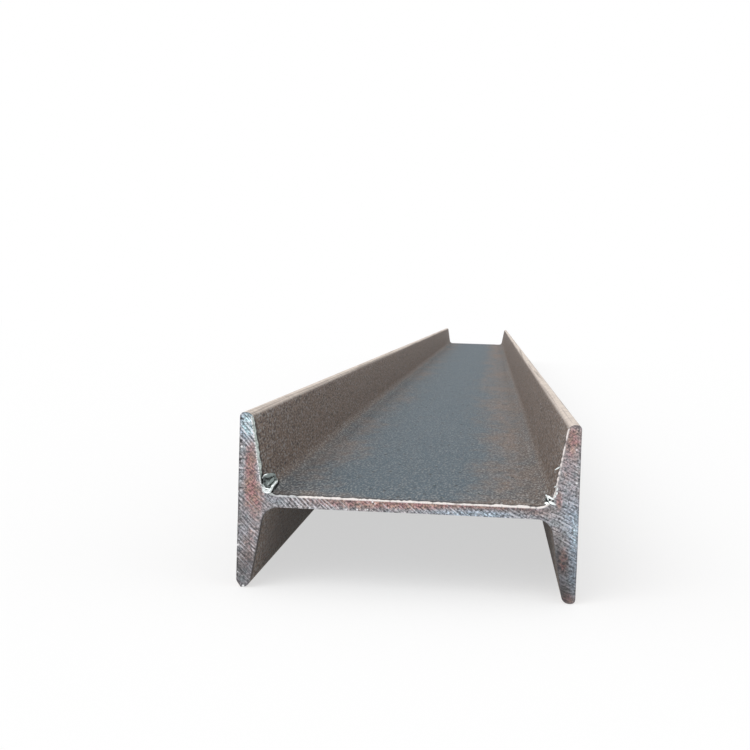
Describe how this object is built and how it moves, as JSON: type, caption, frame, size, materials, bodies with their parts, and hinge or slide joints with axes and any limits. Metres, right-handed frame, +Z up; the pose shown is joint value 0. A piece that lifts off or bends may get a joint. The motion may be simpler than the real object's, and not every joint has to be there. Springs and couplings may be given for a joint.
{
  "type": "steel i-beam",
  "caption": "Hot-rolled steel I-beam with tapered flanges, a level web and sawn ends: a straight length of stock for lintels, floors and frames.",
  "frame": {"origin": "on the floor under the middle of the beam, where it lies on its flange toes", "axes": "+Y along the beam, away from the sawn end that the picture shows; +X across the depth of the section, from flange to flange; +Z up, along the flange width"},
  "size_m": [0.18, 3, 0.094],
  "materials": {
    "hot_rolled_steel": "blue-grey mill scale with thin brown rust, sawn ends of bare steel with flash rust"
  },
  "bodies": {
    "root": {"i_beam": "hot_rolled_steel"}
  },
  "joints": []
}
